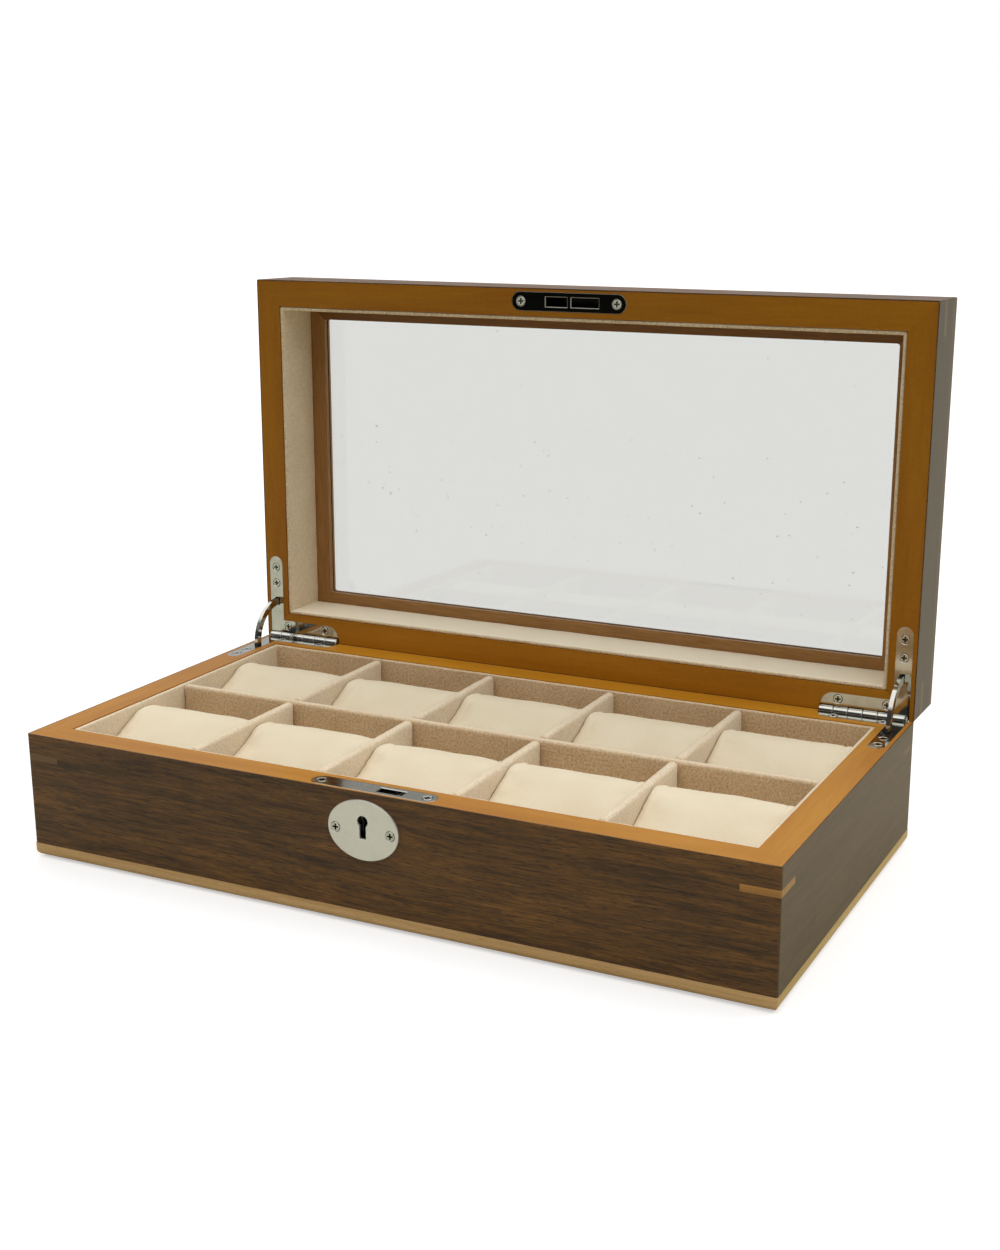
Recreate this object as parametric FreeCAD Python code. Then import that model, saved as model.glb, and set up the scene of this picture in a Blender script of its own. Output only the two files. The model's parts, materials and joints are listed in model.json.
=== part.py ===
import FreeCAD, Part
import math
import os
from FreeCAD import Placement, Rotation, Vector

# A ten-compartment watch box: mitred wooden case on a beech base band, velvet-covered
# linings and dividers, loose watch cushions, and a glazed lid on two quadrant hinges
# whose curved stay arms stop it just past upright. A hook lock closes on a strike plate.
#
# Millimetres. +X runs to the right along the length, +Y to the back, +Z up. The origin is
# the centre of the underside. The lid is drawn closed and then turned open.

# ---- driving dimensions ----
LENGTH = 365.0
DEPTH = 195.4
CASE_HEIGHT = 61.0
LID_HEIGHT = 33.6
RIM_GAP = 0.3
LID_OPEN_DEG = 91.0

FELT_THICK = 0.8
FELT_INSET = 5.0
BAND_TOP = 7.15
BAND_ROUND = 3.0
BOARD_TOP = 6.0
FLOOR_LINING_TOP = 7.0

VENEER = 0.6
CORNER_ROUND = 0.8
CASE_WALL = 14.3
LID_WALL = 13.8
LINING = 2.0
LINING_DROP = 0.3
DIVIDER = 4.4
DIVIDER_DROP = 0.4
COLUMNS = 5

TOP_RAIL_THICK = 6.1
SIDE_RAIL_WIDTH = 24.0
LONG_RAIL_WIDTH = 21.8
OPENING_ROUND = 1.3
GLASS_THICK = 2.0
GLASS_BURIED = 3.0
GLASS_ABOVE_LEDGE = 2.6
GLASS_PLAY = 0.1

KEY_LEG = 16.6
KEY_THICK = 3.1
CASE_KEY_DROP = 9.6
LID_KEY_RISE = 11.5

AXIS_INSET = 0.5
HINGE_EASE = 0.5
HINGE_LEAF = 1.3
LEAF_OUTER_X = 180.0
LEAF_INNER_X = 137.0
LEG_WIDTH = 8.0
LEG_REACH = 45.2
BACK_LEG = 9.2
BACK_LEG_ROUND = 6.0
BARREL_RADIUS = 2.75
BARREL_OUTER_X = 179.8
BARREL_INNER_X = 136.6
KNUCKLES = 6
KNUCKLE_PLAY = 0.1
KNUCKLE_BEVEL = 0.3
BARREL_ROOM = 0.35
PIN_RADIUS = 1.25
PIN_PLAY = 0.05
LEG_SCREW_X = 176.0
LEG_SCREW_REACH = (30.2, 39.1)
BACK_SCREW_X = (145.3, 169.2)
BACK_SCREW_REACH = 6.2

ARM_X = 175.7
ARM_THICK = 2.0
ARM_INNER_RADIUS = 18.2
ARM_OUTER_RADIUS = 21.8
ARM_END_DEG = 9.2
LUG_THICK = 3.4
LUG_START_DEG = 5.2
ARM_SLOT = (17.7, 22.3)
ARM_SLOT_WIDTH = 2.6
POCKET_WIDTH = 4.2
POCKET_REACH = (9.2, 23.0)
POCKET_DEPTH = 19.5

LOCK_Y_FROM_FRONT = 6.5
PLATE_X = 0.6
PLATE_LENGTH = 61.0
PLATE_WIDTH = 9.6
PLATE_THICK = 1.4
PLATE_BEVEL = 0.3
PLATE_SCREW_SPAN = 51.8
BOLT_SLOT = (2.8, 15.3)
BOLT_SLOT_WIDTH = 5.0
STRIKE_WINDOWS = ((-11.8, -0.1), (2.1, 16.9))
STRIKE_WINDOW_WIDTH = 4.7
STRIKE_POCKET = (-12.8, 17.9)
STRIKE_POCKET_WIDTH = 7.0
STRIKE_POCKET_DEPTH = 13.0
LOCK_CASE_X = (-15.5, 12.5)
LOCK_CASE_THICK = 7.2
LOCK_CASE_BOTTOM = 40.0
LOCK_SHEET = 0.8

HOOK_PIVOT_X = -9.0
HOOK_PIVOT_DROP = 10.0
HOOK_THICK = 3.4
HOOK_HUB = 4.5
HOOK_INNER_RADIUS = 16.2
HOOK_OUTER_RADIUS = 19.5
HOOK_TIP_DEG = 24.0
HOOK_ROOT_DEG = -22.0
HOOK_ARM_DEG = -8.0
HOOK_PIN_RADIUS = 1.5

ESCUTCHEON_X = -0.9
ESCUTCHEON_Z = 44.4
ESCUTCHEON_LONG = 34.5
ESCUTCHEON_TALL = 27.0
ESCUTCHEON_THICK = 1.0
ESCUTCHEON_SCREW_X = (-14.4, 12.4)
KEYHOLE_Z = 48.4
KEYHOLE_RADIUS = 2.6
KEYHOLE_SLOT = 3.2
KEYHOLE_BOTTOM = 40.7

CUSHION_END_PLAY = 0.4
CUSHION_BOTTOM = 7.3
CUSHION_FOOT = 20.0
CUSHION_BULGE = (32.8, 31.0)
CUSHION_SLOPE = ((-21.5, 49.6), (-2.0, 58.7))
CUSHION_CREST = (4.8, 60.2)
CUSHION_BACK = (18.0, 53.2)
CUSHION_SETTLED_BACK = {"front": (3.0, 5.5, 3.0, 5.0, 5.5), "back": (3.0, 3.0, 5.0, 5.0, 6.3)}

# ---- worked-out positions ----
RIM = CASE_HEIGHT
LID_RIM = CASE_HEIGHT + RIM_GAP
LID_TOP = LID_RIM + LID_HEIGHT
LEDGE = LID_TOP - TOP_RAIL_THICK
BACK = DEPTH / 2
FRONT = -DEPTH / 2
AXIS_Y = BACK - AXIS_INSET
AXIS_Z = CASE_HEIGHT + RIM_GAP / 2
LOCK_Y = FRONT + LOCK_Y_FROM_FRONT
INNER_X = LENGTH / 2 - CASE_WALL - LINING
INNER_Y = DEPTH / 2 - CASE_WALL - LINING
COLUMN_PITCH = (2 * INNER_X + DIVIDER) / COLUMNS
HOOK_PIVOT_Z = RIM - HOOK_PIVOT_DROP
# An edge or face that spans less than this along an axis counts as square to it.
FLAT = 1e-3
SIDES = ("front", "back", "left", "right")
HANDS = ("left", "right")


# ---- shapes used again and again ----
def block(x0, x1, y0, y1, z0, z1):
    return Part.makeBox(x1 - x0, y1 - y0, z1 - z0, Vector(x0, y0, z0))


def upright_edges(shape):
    return [e for e in shape.Edges if e.BoundBox.XLength < FLAT and e.BoundBox.YLength < FLAT]


def centred_block(inset_x, inset_y, z0, z1, corner=0.0):
    """A block of the box's outline drawn in by an inset on each side."""
    x, y = LENGTH / 2 - inset_x, DEPTH / 2 - inset_y
    shape = block(-x, x, -y, y, z0, z1)
    return shape.makeFillet(corner, upright_edges(shape)) if corner else shape


def mitre_wedges(run_x=1.0, run_y=1.0):
    """Four wedges that part a frame at its corners along lines of run_x to run_y."""
    reach = 0.9 * DEPTH / 2
    spare = 5.0
    dx, dy = reach * run_x, reach * run_y
    x, y = LENGTH / 2 + spare * run_x, DEPTH / 2 + spare * run_y
    corners = {
        "front": [(-x, -y), (x, -y), (x - dx, dy - y), (dx - x, dy - y)],
        "right": [(x, -y), (x, y), (x - dx, y - dy), (x - dx, dy - y)],
    }
    wedges = {}
    for side, points in corners.items():
        wire = Part.makePolygon([Vector(a, b, 0) for a, b in points + points[:1]])
        wedges[side] = Part.Face(wire).extrude(Vector(0, 0, 2 * LID_TOP))
    wedges["back"] = wedges["front"].mirror(Vector(0, 0, 0), Vector(0, 1, 0))
    wedges["left"] = wedges["right"].mirror(Vector(0, 0, 0), Vector(1, 0, 0))
    return wedges


def mitred(frame, run_x=1.0, run_y=1.0):
    wedges = mitre_wedges(run_x, run_y)
    return {side: frame.common(wedges[side]).removeSplitter() for side in SIDES}


def both_hands(shape):
    """A right-hand shape and its mirror image on the left."""
    return {"right": shape, "left": shape.mirror(Vector(0, 0, 0), Vector(1, 0, 0))}


def opened(shape):
    """Turn a piece of the closed lid about the hinge axis to its open stop."""
    turned = shape.copy()
    turned.rotate(Vector(0, AXIS_Y, AXIS_Z), Vector(1, 0, 0), -LID_OPEN_DEG)
    return turned


def group(shapes):
    return Part.Compound([solid for shape in shapes for solid in shape.Solids])


def export(name, shape):
    solids = shape.Solids
    shape = solids[0] if len(solids) == 1 else Part.Compound(solids)
    assert solids and shape.isValid(), name
    shape.exportStep("parts/" + name + ".step")


def flat_oval(x, y, z0, z1, length, width):
    """A plate along X with fully rounded ends."""
    half = (length - width) / 2
    bar = block(x - half, x + half, y - width / 2, y + width / 2, z0, z1)
    ends = [Part.makeCylinder(width / 2, z1 - z0, Vector(x + s * half, y, z0)) for s in (-1, 1)]
    return bar.fuse(ends).removeSplitter()


def bevelled(plate, z):
    """The plate with a small bevel along every edge of its face at height z."""
    face_edges = [
        e for e in plate.Edges
        if abs(e.BoundBox.ZMin - z) < FLAT and abs(e.BoundBox.ZMax - z) < FLAT
    ]
    return plate.makeChamfer(PLATE_BEVEL, face_edges)


def screw_blank(head, length, place, direction):
    """A countersunk screw's outside, its head's top at place, pointing along direction."""
    head_height, shank = head * 0.5, head * 0.42
    body = Part.makeCone(shank, head, head_height, Vector(0, 0, -head_height))
    body = body.fuse(Part.makeCylinder(shank, length - head_height, Vector(0, 0, -length)))
    body.Placement = Placement(Vector(*place), Rotation(Vector(0, 0, -1), Vector(*direction)))
    return body


def screw(head, length, place, direction):
    """The screw itself, with its cross recess and the bevel round its head."""
    half_slot, half_arm, recess, bevel = head * 0.16, head * 0.56, head * 0.35, head * 0.2
    arm = block(-half_arm, half_arm, -half_slot, half_slot, -recess, 1)
    cross = arm.fuse(block(-half_slot, half_slot, -half_arm, half_arm, -recess, 1))
    ring = Part.makeCylinder(head + 1, bevel, Vector(0, 0, -bevel))
    ring = ring.cut(Part.makeCone(head, head - bevel, bevel, Vector(0, 0, -bevel)))
    waste = Part.makeCompound([cross, ring])
    waste.Placement = Placement(Vector(*place), Rotation(Vector(0, 0, -1), Vector(*direction)))
    return screw_blank(head, length, place, direction).cut(waste).removeSplitter()


def keyhole(y0, y1, grow=0.0):
    """The keyhole's outline run from y0 to y1."""
    radius, half = KEYHOLE_RADIUS + grow, KEYHOLE_SLOT / 2 + grow
    eye = Part.makeCylinder(radius, y1 - y0, Vector(ESCUTCHEON_X, y0, KEYHOLE_Z), Vector(0, 1, 0))
    slot = block(ESCUTCHEON_X - half, ESCUTCHEON_X + half, y0, y1, KEYHOLE_BOTTOM - grow, KEYHOLE_Z)
    return eye.fuse(slot)


def eased_edge():
    """The strip planed off the case's back top edge, so that the open lid's edge swings past it."""
    e = HINGE_EASE
    corners = [(BACK - 2 * e, RIM + e), (BACK + e, RIM - 2 * e), (BACK + e, RIM + e)]
    outline = Part.makePolygon([Vector(-LENGTH, y, z) for y, z in corners + corners[:1]])
    return Part.Face(outline).extrude(Vector(2 * LENGTH, 0, 0))


# ---- corner keys let into the mitres ----
def corner_keys(z0):
    x, y = LENGTH / 2, DEPTH / 2
    keys = []
    for sx, sy in ((-1, -1), (1, -1), (1, 1), (-1, 1)):
        points = [(sx * x, sy * y), (sx * (x - KEY_LEG), sy * y), (sx * x, sy * (y - KEY_LEG))]
        wire = Part.makePolygon([Vector(a, b, z0) for a, b in points + points[:1]])
        keys.append(Part.Face(wire).extrude(Vector(0, 0, KEY_THICK)))
    rounded = centred_block(0, 0, z0, z0 + KEY_THICK, CORNER_ROUND)
    return [key.common(rounded) for key in keys]


# ---- quadrant hinges: everything is drawn for the right-hand corner, closed ----
def leaf_plate(z0, z1, grow=0.0):
    """The L-shaped plate, from its round tip to the barrel."""
    near = AXIS_Y - BARREL_RADIUS - BARREL_ROOM
    far = AXIS_Y - BACK_LEG - grow
    back_leg = block(LEAF_INNER_X - grow, LEAF_OUTER_X + grow, far, near, z0, z1)
    far_corner = [
        e for e in upright_edges(back_leg)
        if e.BoundBox.XMax < LEAF_INNER_X + FLAT and e.BoundBox.YMax < far + FLAT
    ]
    back_leg = back_leg.makeFillet(BACK_LEG_ROUND, far_corner)
    inner, outer = LEAF_OUTER_X - LEG_WIDTH - grow, LEAF_OUTER_X + grow
    tip_y = AXIS_Y - LEG_REACH + LEG_WIDTH / 2
    side_leg = block(inner, outer, tip_y, near, z0, z1)
    radius = LEG_WIDTH / 2 + grow
    tip = Part.makeCylinder(radius, z1 - z0, Vector(LEAF_OUTER_X - LEG_WIDTH / 2, tip_y, z0))
    return back_leg.fuse([side_leg, tip]).removeSplitter()


def leaf_screw_places(z):
    legs = [(LEG_SCREW_X, AXIS_Y - reach, z) for reach in LEG_SCREW_REACH]
    return legs + [(x, AXIS_Y - BACK_SCREW_REACH, z) for x in BACK_SCREW_X]


def hinge_screws(z, direction, make=screw):
    return [make(2.45, 9.0, place, direction) for place in leaf_screw_places(z)]


def hinge_leaf(first_knuckle):
    """The case leaf, flush with the rim. It carries every second knuckle from first_knuckle."""
    top, bottom = RIM, RIM - HINGE_LEAF
    leaf = leaf_plate(bottom, top)
    pitch = (BARREL_OUTER_X - BARREL_INNER_X) / KNUCKLES
    for index in range(first_knuckle, KNUCKLES, 2):
        x0 = BARREL_INNER_X + index * pitch + KNUCKLE_PLAY / 2
        x1 = x0 + pitch - KNUCKLE_PLAY
        axis_point = Vector(x0, AXIS_Y, AXIS_Z)
        knuckle = Part.makeCylinder(BARREL_RADIUS, x1 - x0, axis_point, Vector(1, 0, 0))
        ends = [e for e in knuckle.Edges if e.BoundBox.XLength < FLAT]
        knuckle = knuckle.makeChamfer(KNUCKLE_BEVEL, ends)
        near = AXIS_Y - BARREL_RADIUS - BARREL_ROOM
        tab = block(max(x0, LEAF_INNER_X), x1, near, AXIS_Y, bottom, top)
        leaf = leaf.fuse([knuckle, tab])
    bore = Part.makeCylinder(
        PIN_RADIUS + PIN_PLAY, LENGTH, Vector(BARREL_INNER_X - 1, AXIS_Y, AXIS_Z), Vector(1, 0, 0)
    )
    half = ARM_SLOT_WIDTH / 2
    slot = block(ARM_X - half, ARM_X + half, AXIS_Y - ARM_SLOT[1], AXIS_Y - ARM_SLOT[0], 0, LID_TOP)
    leaf = leaf.cut([bore, slot] + hinge_screws(top, (0, 0, -1), screw_blank))
    return leaf.removeSplitter()


def to_lid_side(shape):
    """Mirror a case-side hinge piece to the lid side of the rim gap."""
    return shape.mirror(Vector(0, 0, AXIS_Z), Vector(0, 0, 1))


def hinge_room():
    """All that one hinge takes out of the case's wood: leaf recess, barrel groove, arm pocket."""
    recess = leaf_plate(RIM - HINGE_LEAF, RIM + 1, 0.05)
    behind = block(
        BARREL_INNER_X - BARREL_ROOM, BARREL_OUTER_X + BARREL_ROOM,
        AXIS_Y - BARREL_RADIUS - BARREL_ROOM, AXIS_Y + 1, RIM - HINGE_LEAF, RIM + 1,
    )
    groove = Part.makeCylinder(
        BARREL_RADIUS + BARREL_ROOM,
        BARREL_OUTER_X - BARREL_INNER_X + 2 * BARREL_ROOM,
        Vector(BARREL_INNER_X - BARREL_ROOM, AXIS_Y, AXIS_Z),
        Vector(1, 0, 0),
    )
    half = POCKET_WIDTH / 2
    pocket = block(
        ARM_X - half, ARM_X + half,
        AXIS_Y - POCKET_REACH[1], AXIS_Y - POCKET_REACH[0], RIM - POCKET_DEPTH, RIM,
    )
    holes = hinge_screws(RIM, (0, 0, -1), screw_blank)
    return recess.fuse([behind, groove, pocket] + holes)


def arc_bar(x_thick, start_deg, sweep_deg):
    """A bar bent round the hinge axis. 0 degrees points to the back, 180 to the front."""
    x0, x1 = ARM_X - x_thick / 2, ARM_X + x_thick / 2
    inner, outer = AXIS_Y + ARM_INNER_RADIUS, AXIS_Y + ARM_OUTER_RADIUS
    points = [(x0, inner), (x1, inner), (x1, outer), (x0, outer), (x0, inner)]
    face = Part.Face(Part.makePolygon([Vector(x, y, AXIS_Z) for x, y in points]))
    centre = Vector(0, AXIS_Y, AXIS_Z)
    bar = face.revolve(centre, Vector(1, 0, 0), sweep_deg)
    bar.rotate(centre, Vector(1, 0, 0), start_deg)
    return bar


def stay_arm():
    """The curved arm in the open pose, held by a wider lug behind each leaf."""
    lid_deg, case_deg = 180 - LID_OPEN_DEG, 180
    arm = arc_bar(ARM_THICK, lid_deg - ARM_END_DEG, LID_OPEN_DEG + 2 * ARM_END_DEG)
    lug_sweep = ARM_END_DEG - LUG_START_DEG
    lugs = [
        arc_bar(LUG_THICK, lid_deg - ARM_END_DEG, lug_sweep),
        arc_bar(LUG_THICK, case_deg + LUG_START_DEG, lug_sweep),
    ]
    return arm.fuse(lugs).removeSplitter()


def hinge_pin():
    start = Vector(BARREL_INNER_X, AXIS_Y, AXIS_Z)
    return Part.makeCylinder(PIN_RADIUS, BARREL_OUTER_X - BARREL_INNER_X, start, Vector(1, 0, 0))


# ---- lock and strike ----
def plate_screws(z, direction, make=screw):
    xs = [PLATE_X - PLATE_SCREW_SPAN / 2, PLATE_X + PLATE_SCREW_SPAN / 2]
    return [make(2.6, 9.0, (x, LOCK_Y, z), direction) for x in xs]


def lock_face_plate():
    plate = flat_oval(PLATE_X, LOCK_Y, RIM - PLATE_THICK, RIM, PLATE_LENGTH, PLATE_WIDTH)
    half = BOLT_SLOT_WIDTH / 2
    slot = block(BOLT_SLOT[0], BOLT_SLOT[1], LOCK_Y - half, LOCK_Y + half, 0, LID_TOP)
    return bevelled(plate.cut(slot), RIM).cut(plate_screws(RIM, (0, 0, -1), screw_blank))


def strike_plate():
    plate = flat_oval(
        PLATE_X, LOCK_Y, LID_RIM, LID_RIM + PLATE_THICK, PLATE_LENGTH + 1, PLATE_WIDTH
    )
    half = STRIKE_WINDOW_WIDTH / 2
    windows = [block(x0, x1, LOCK_Y - half, LOCK_Y + half, 0, LID_TOP) for x0, x1 in STRIKE_WINDOWS]
    return bevelled(plate.cut(windows), LID_RIM).cut(plate_screws(LID_RIM, (0, 0, 1), screw_blank))


def strike_room():
    """The recess and the pocket behind the strike's windows."""
    recess = flat_oval(
        PLATE_X, LOCK_Y, LID_RIM - 1, LID_RIM + PLATE_THICK, PLATE_LENGTH + 1, PLATE_WIDTH
    )
    half = STRIKE_POCKET_WIDTH / 2
    top = LID_RIM + STRIKE_POCKET_DEPTH
    pocket = block(STRIKE_POCKET[0], STRIKE_POCKET[1], LOCK_Y - half, LOCK_Y + half, LID_RIM, top)
    return recess.fuse([pocket] + plate_screws(LID_RIM, (0, 0, 1), screw_blank))


def lock_case_block(inset=0.0):
    half = LOCK_CASE_THICK / 2 - inset
    top = RIM - PLATE_THICK
    return block(
        LOCK_CASE_X[0] + inset, LOCK_CASE_X[1] - inset,
        LOCK_Y - half, LOCK_Y + half, LOCK_CASE_BOTTOM + inset, top,
    )


def lock_case():
    shell = lock_case_block().cut(lock_case_block(LOCK_SHEET))
    front = LOCK_Y - LOCK_CASE_THICK / 2
    return shell.cut(keyhole(front - 1, front + LOCK_SHEET + 0.5))


def lock_room():
    """What the lock takes out of the front wall: face plate recess, case mortise, keyway, screws."""
    recess = flat_oval(PLATE_X, LOCK_Y, RIM - PLATE_THICK, RIM + 1, PLATE_LENGTH, PLATE_WIDTH)
    keyway = keyhole(FRONT - 1, LOCK_Y, 0.6)
    holes = plate_screws(RIM, (0, 0, -1), screw_blank) + escutcheon_screws(screw_blank)
    return recess.fuse([lock_case_block(), keyway] + holes)


def polar(radius, degrees, y):
    angle = math.radians(degrees)
    return Vector(
        HOOK_PIVOT_X + radius * math.cos(angle), y, HOOK_PIVOT_Z + radius * math.sin(angle)
    )


def lock_hook_bolt():
    """The swinging hook: a hub, an arm, and a finger bent round the pivot. Drawn withdrawn."""
    y0 = LOCK_Y - HOOK_THICK / 2
    inner, outer = HOOK_INNER_RADIUS, HOOK_OUTER_RADIUS
    tip, root, arm_top = HOOK_TIP_DEG, HOOK_ROOT_DEG, HOOK_ARM_DEG
    middle = (tip + root) / 2
    crook = (tip + arm_top) / 2
    start = HOOK_HUB * 0.8
    edges = [
        Part.Arc(polar(outer, root, y0), polar(outer, middle, y0), polar(outer, tip, y0)).toShape(),
        Part.makeLine(polar(outer, tip, y0), polar(inner, tip, y0)),
        Part.Arc(polar(inner, tip, y0), polar(inner, crook, y0), polar(inner, arm_top, y0)).toShape(),
        Part.makeLine(polar(inner, arm_top, y0), polar(start, arm_top + 20, y0)),
        Part.makeLine(polar(start, arm_top + 20, y0), polar(start, root - 30, y0)),
        Part.makeLine(polar(start, root - 30, y0), polar(outer, root, y0)),
    ]
    blade = Part.Face(Part.Wire(edges)).extrude(Vector(0, HOOK_THICK, 0))
    pivot = Vector(HOOK_PIVOT_X, y0, HOOK_PIVOT_Z)
    hub = Part.makeCylinder(HOOK_HUB, HOOK_THICK, pivot, Vector(0, 1, 0))
    bore = Part.makeCylinder(HOOK_PIN_RADIUS + PIN_PLAY, HOOK_THICK, pivot, Vector(0, 1, 0))
    return blade.fuse(hub).cut(bore).removeSplitter()


def lock_pivot_pin():
    half = LOCK_CASE_THICK / 2 - LOCK_SHEET
    start = Vector(HOOK_PIVOT_X, LOCK_Y - half, HOOK_PIVOT_Z)
    return Part.makeCylinder(HOOK_PIN_RADIUS, 2 * half, start, Vector(0, 1, 0))


def escutcheon_screws(make=screw):
    y = FRONT - ESCUTCHEON_THICK
    return [make(2.5, 3.9, (x, y, ESCUTCHEON_Z - 0.4), (0, 1, 0)) for x in ESCUTCHEON_SCREW_X]


def escutcheon():
    ellipse = Part.Ellipse(Vector(0, 0, 0), ESCUTCHEON_LONG / 2, ESCUTCHEON_TALL / 2)
    plate = Part.Face(Part.Wire(ellipse.toShape())).extrude(Vector(0, 0, ESCUTCHEON_THICK))
    front_edge = [e for e in plate.Edges if e.BoundBox.ZMin > ESCUTCHEON_THICK - 0.01]
    plate = plate.makeFillet(0.35, front_edge)
    plate.Placement = Placement(
        Vector(ESCUTCHEON_X, FRONT, ESCUTCHEON_Z), Rotation(Vector(1, 0, 0), 90)
    )
    cutters = [keyhole(FRONT - 5, FRONT + 5)] + escutcheon_screws(screw_blank)
    return plate.cut(cutters)


# ---- case ----
def make_case():
    hinges = list(both_hands(hinge_room()).values())
    keys = [key.cut(hinges) for key in corner_keys(RIM - CASE_KEY_DROP - KEY_THICK)]
    room = hinges + keys + [lock_room()]
    export("case_corner_keys", group(keys))

    band = centred_block(0, 0, FELT_THICK, BAND_TOP)
    underside = [e for e in band.Edges if e.BoundBox.ZMax < FELT_THICK + 0.01]
    band = band.makeFillet(BAND_ROUND, underside)
    band = band.cut(centred_block(CASE_WALL, CASE_WALL, 0, RIM))
    export("base_band", group(mitred(band).values()))

    export("base_felt", centred_block(FELT_INSET, FELT_INSET, 0, FELT_THICK, 2.0))
    export("bottom_board", centred_block(CASE_WALL, CASE_WALL, FELT_THICK, BOARD_TOP))
    export(
        "floor_lining",
        centred_block(CASE_WALL + LINING, CASE_WALL + LINING, BOARD_TOP, FLOOR_LINING_TOP),
    )

    core = centred_block(VENEER, VENEER, BAND_TOP, RIM)
    core = core.cut(centred_block(CASE_WALL, CASE_WALL, 0, LID_TOP))
    for side, wall in mitred(core.cut(room)).items():
        export("case_wall_" + side, wall)

    skin = centred_block(0, 0, BAND_TOP, RIM, CORNER_ROUND)
    skin = skin.cut([centred_block(VENEER, VENEER, 0, LID_TOP), eased_edge()] + room)
    export("case_veneer", group(mitred(skin).values()))

    lining = centred_block(CASE_WALL, CASE_WALL, BOARD_TOP, RIM - LINING_DROP)
    lining = lining.cut(centred_block(CASE_WALL + LINING, CASE_WALL + LINING, 0, LID_TOP))
    for side, strip in mitred(lining).items():
        export("case_lining_" + side, strip)


def make_dividers():
    """Half-lapped: the long divider is notched from above, the cross dividers from below."""
    z0, z1 = FLOOR_LINING_TOP, RIM - DIVIDER_DROP
    half, lap = DIVIDER / 2, (z0 + z1) / 2
    columns = [(i - (COLUMNS - 2) / 2) * COLUMN_PITCH for i in range(COLUMNS - 1)]
    long_divider = block(-INNER_X, INNER_X, -half, half, z0, z1)
    notches = [block(x - half, x + half, -half, half, lap, z1) for x in columns]
    export("long_divider", long_divider.cut(notches))
    for number, x in enumerate(columns, 1):
        cross = block(x - half, x + half, -INNER_Y, INNER_Y, z0, z1)
        export("cross_divider_%d" % number, cross.cut(block(x - half, x + half, -half, half, z0, lap)))


def cushion_section(y):
    """The pad's outline across the box: flat underneath, with bulging sides and a flat face
    that slopes up to a crest behind the middle."""
    bulge, waist = CUSHION_BULGE
    left_foot, right_foot = (-CUSHION_FOOT, CUSHION_BOTTOM), (CUSHION_FOOT, CUSHION_BOTTOM)
    low, high = CUSHION_SLOPE

    def place(point):
        return Vector(0, y + point[0], point[1])

    def arc(*points):
        return Part.Arc(*[place(p) for p in points]).toShape()

    base = Part.makeLine(place(left_foot), place(right_foot))
    back = arc(right_foot, (bulge, waist), CUSHION_BACK)
    crest = arc(CUSHION_BACK, CUSHION_CREST, high)
    slope = Part.makeLine(place(high), place(low))
    front = arc(low, (-bulge, waist), left_foot)
    return Part.Face(Part.Wire([base, back, crest, slope, front]))


def make_cushions():
    length = COLUMN_PITCH - DIVIDER - 2 * CUSHION_END_PLAY
    row_y = (INNER_Y + DIVIDER / 2) / 2
    for row, y in (("front", -row_y), ("back", row_y)):
        for column in range(COLUMNS):
            x = (column - (COLUMNS - 1) / 2) * COLUMN_PITCH
            pad = cushion_section(y + CUSHION_SETTLED_BACK[row][column])
            pad = pad.extrude(Vector(length, 0, 0))
            pad.translate(Vector(x - length / 2, 0, 0))
            export("cushion_%s_%d" % (row, column + 1), pad)


# ---- lid, drawn closed ----
def make_lid():
    hinges = list(both_hands(to_lid_side(hinge_room())).values())
    keys = [key.cut(hinges) for key in corner_keys(LID_RIM + LID_KEY_RISE)]
    room = hinges + keys + [strike_room()]
    export("lid_corner_keys", opened(group(keys)))

    core = centred_block(VENEER, VENEER, LID_RIM, LEDGE)
    core = core.cut(centred_block(LID_WALL, LID_WALL, 0, LID_TOP)).cut(room)
    for side, wall in mitred(core).items():
        export("lid_wall_" + side, opened(wall))

    skin = centred_block(0, 0, LID_RIM, LEDGE, CORNER_ROUND)
    inside = centred_block(VENEER, VENEER, 0, LID_TOP)
    skin = skin.cut([inside, to_lid_side(eased_edge())] + room)
    export("lid_veneer", opened(group(mitred(skin).values())))

    frame = centred_block(0, 0, LEDGE, LID_TOP, CORNER_ROUND)
    top_edge = [e for e in frame.Edges if e.BoundBox.ZMin > LID_TOP - 0.01]
    frame = frame.makeFillet(CORNER_ROUND / 2, top_edge)
    hole = centred_block(SIDE_RAIL_WIDTH, LONG_RAIL_WIDTH, 0, LID_TOP + 1, OPENING_ROUND)
    buried = GLASS_BURIED
    bottom = LEDGE + GLASS_ABOVE_LEDGE
    groove = centred_block(
        SIDE_RAIL_WIDTH - buried, LONG_RAIL_WIDTH - buried, bottom, bottom + GLASS_THICK
    )
    rails = mitred(frame.cut([hole, groove]), SIDE_RAIL_WIDTH / LONG_RAIL_WIDTH, 1.0)
    for side, rail in rails.items():
        export("lid_top_rail_" + side, opened(rail))
    play = GLASS_PLAY
    pane = centred_block(
        SIDE_RAIL_WIDTH - buried + play, LONG_RAIL_WIDTH - buried + play, bottom, bottom + GLASS_THICK
    )
    export("lid_glass", opened(pane))

    lining = centred_block(LID_WALL, LID_WALL, LID_RIM + LINING_DROP, LEDGE)
    lining = lining.cut(centred_block(LID_WALL + LINING, LID_WALL + LINING, 0, LID_TOP))
    export("lid_lining", opened(group(mitred(lining).values())))


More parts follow.
